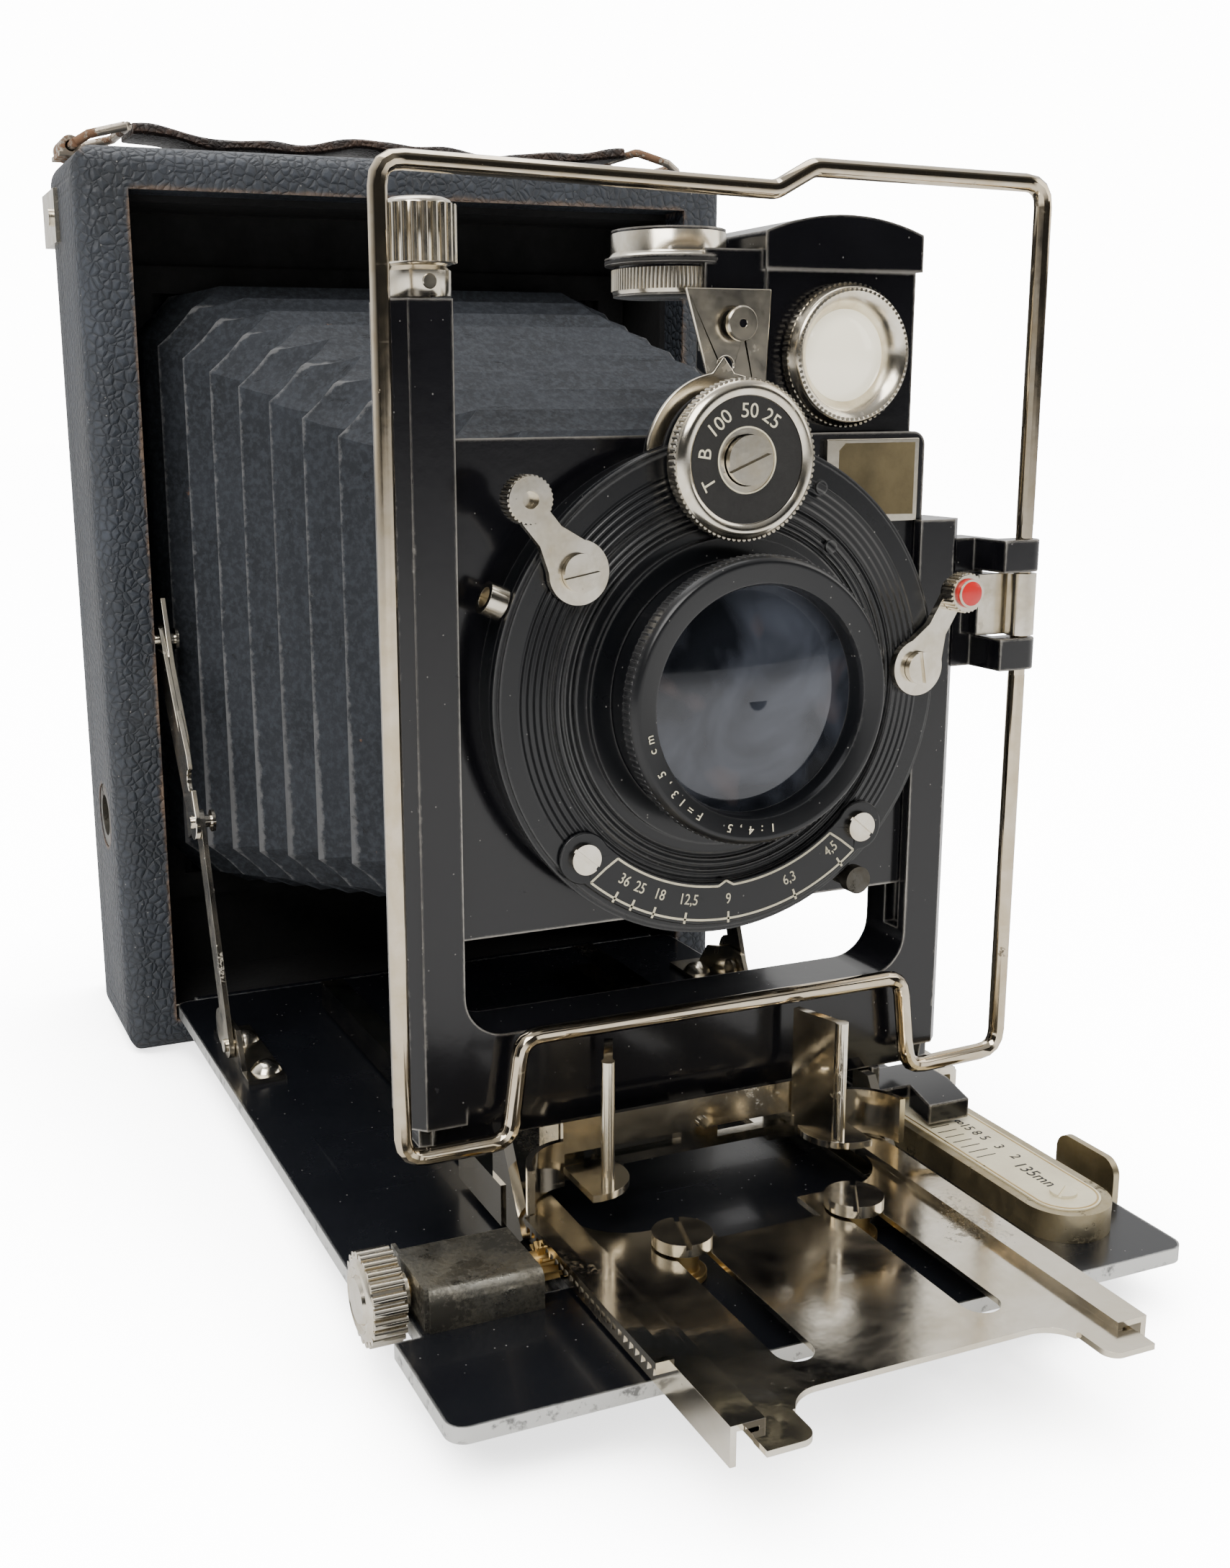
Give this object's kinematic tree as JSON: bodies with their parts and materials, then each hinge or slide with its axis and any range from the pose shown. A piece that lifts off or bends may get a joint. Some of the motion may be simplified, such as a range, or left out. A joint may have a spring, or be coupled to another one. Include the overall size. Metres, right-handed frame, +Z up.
{
  "type": "folding_plate_camera",
  "caption": "Folding plate camera opened on its drop bed: leather body, tapered bellows, U standard, round dial-set shutter with lens, wire frame finder, swinging reflecting finder, rails",
  "frame": {"origin": "centre of the body's flat base, in the plane it stands on", "axes": "+Z up, the lens faces -Y, +X to the right seen from the front"},
  "size_m": [0.1295, 0.222, 0.1738],
  "materials": {
    "pebbled_leather": "matte",
    "worn_leather_back": "matte",
    "black_paint": "matte",
    "nickel": "polished, tarnished",
    "nickel_wire": "satin",
    "aged_brass": "satin",
    "brass": "satin",
    "strap_leather": "worn",
    "rusty_steel": "rusty",
    "dark_steel": "satin",
    "black_enamel": "gloss",
    "ivory_plate": "satin",
    "bellows_cloth": "satin",
    "lens_glass": "clear",
    "finder_glass": "clear"
  },
  "bodies": {
    "camera_body": {"body_shell": "pebbled_leather", "inner_box": "black_paint", "back_frame": "worn_leather_back", "back_latch": "nickel", "side_bush": "aged_brass", "bed_bush": "aged_brass", "handle_strap": "strap_leather", "handle_loops": "rusty_steel", "handle_lugs": "rusty_steel", "bed": "black_enamel", "bed_hinge_pin": "nickel", "strut_upper_links": "nickel", "strut_lower_links": "nickel", "strut_brackets": "nickel", "strut_pins": "nickel", "focus_housing": "nickel", "scale_base": "aged_brass", "scale_plate": "ivory_plate", "rail_screws": "nickel", "rail_washers": "brass", "bellows": "bellows_cloth", "bellows_rear_frame": "black_paint"},
    "bed_lock": {"bed_lock_lever": "aged_brass"},
    "rails": {"rail_plate": "nickel", "rack": "brass"},
    "focus": {"pinion_shaft": "brass", "focus_knob": "nickel"},
    "standard": {"carriage": "nickel", "u_frame": "black_enamel", "pointer_arm": "black_enamel", "wire_clasp": "black_enamel"},
    "left_grip": {"grip_left": "nickel"},
    "right_grip": {"grip_right": "nickel"},
    "lens_panel": {"lens_board": "black_enamel", "finder_plate": "nickel", "shutter_case": "black_enamel", "shutter_cover": "black_enamel", "iris_blades": "dark_steel", "shutter_blades": "dark_steel", "rear_barrel": "black_enamel", "rear_glass": "lens_glass", "retaining_ring": "black_enamel", "lens_barrel": "black_enamel", "lens_ring": "black_enamel", "front_glass": "lens_glass", "aperture_plate": "black_enamel", "shutter_screws": "nickel", "cable_socket": "nickel", "dial_index": "nickel"},
    "rise": {"rise_screw": "dark_steel", "rise_knob": "nickel"},
    "dial": {"speed_dial": "nickel"},
    "setting": {"setting_lever": "nickel"},
    "release": {"release_lever": "nickel"},
    "aperture": {"aperture_pointer": "dark_steel"},
    "finder": {"finder_body": "black_enamel", "finder_lens": "finder_glass"},
    "wire_finder": {"wire_frame": "nickel_wire"},
    "screen_back": {"focusing_back": "black_paint"},
    "screen_hood": {"hood_cover": "black_paint"}
  },
  "joints": [
    {"name": "rail_slide", "type": "slide", "parent": "camera_body", "child": "rails", "axis": [0, 1, 0], "range_m": [0, 0.027], "deforming": ["bellows"]},
    {"name": "focus_turn", "type": "hinge", "parent": "camera_body", "child": "focus", "pos_m": [-0.052, -0.1481, 0.0114], "axis": [-1, 0, 0], "range_deg": [-2, 690]},
    {"name": "standard_slide", "type": "slide", "parent": "rails", "child": "standard", "axis": [0, 1, 0], "range_m": [0, 0.024], "deforming": ["bellows"]},
    {"name": "lens_rise", "type": "slide", "parent": "standard", "child": "lens_panel", "axis": [0, 0, 1], "range_m": [-0.006, 0.008], "deforming": ["bellows"]},
    {"name": "rise_turn", "type": "hinge", "parent": "standard", "child": "rise", "pos_m": [-0.0377, -0.1265, 0.138], "axis": [0, 0, -1], "range_deg": [-1100, 1460]},
    {"name": "finder_turn", "type": "hinge", "parent": "lens_panel", "child": "finder", "pos_m": [0.006, -0.131, 0.133], "axis": [0, -1, 0], "range_deg": [0, 90]},
    {"name": "speed_dial_turn", "type": "hinge", "parent": "lens_panel", "child": "dial", "pos_m": [0.0008, -0.1416, 0.1154], "axis": [0, 1, 0], "range_deg": [-60, 120]},
    {"name": "setting_swing", "type": "hinge", "parent": "lens_panel", "child": "setting", "pos_m": [-0.0217, -0.1396, 0.1017], "axis": [0, 1, 0], "range_deg": [0, 35], "stiffness_Nm_per_rad": 0.02, "springref_deg": -5.73},
    {"name": "release_swing", "type": "hinge", "parent": "lens_panel", "child": "release", "pos_m": [0.0309, -0.1396, 0.086], "axis": [0, 1, 0], "range_deg": [0, 15], "stiffness_Nm_per_rad": 0.03, "springref_deg": -5.73},
    {"name": "aperture_swing", "type": "hinge", "parent": "lens_panel", "child": "aperture", "pos_m": [0.001, -0.1347, 0.0844], "axis": [0, 1, 0], "range_deg": [0, 72]},
    {"name": "wire_frame_swing", "type": "hinge", "parent": "standard", "child": "wire_finder", "pos_m": [0.0515, -0.136, 0.0935], "axis": [0, 0, 1], "range_deg": [0, 180]},
    {"name": "grip_left_press", "type": "slide", "parent": "standard", "child": "left_grip", "axis": [1, 0, 0], "range_m": [0, 0.0025], "stiffness_N_per_m": 200, "springref_m": -0.001},
    {"name": "grip_right_press", "type": "slide", "parent": "standard", "child": "right_grip", "axis": [-1, 0, 0], "range_m": [0, 0.0025], "stiffness_N_per_m": 200, "springref_m": -0.001},
    {"name": "bed_lock_swing", "type": "hinge", "parent": "camera_body", "child": "bed_lock", "pos_m": [0.05, -0.1485, 0.005], "axis": [0, 0, 1], "range_deg": [0, 12]},
    {"name": "back_slide", "type": "slide", "parent": "camera_body", "child": "screen_back", "axis": [0, 0, 1], "range_m": [0, 0.06]},
    {"name": "hood_swing", "type": "hinge", "parent": "screen_back", "child": "screen_hood", "pos_m": [0, 0.021, 0.1495], "axis": [1, 0, 0], "range_deg": [0, 100]}
  ],
  "couplings": [
    {"joint": "focus_turn", "follows": "rail_slide", "rad_per_m": 444.44},
    {"joint": "rise_turn", "follows": "lens_rise", "rad_per_m": 3141.6}
  ]
}
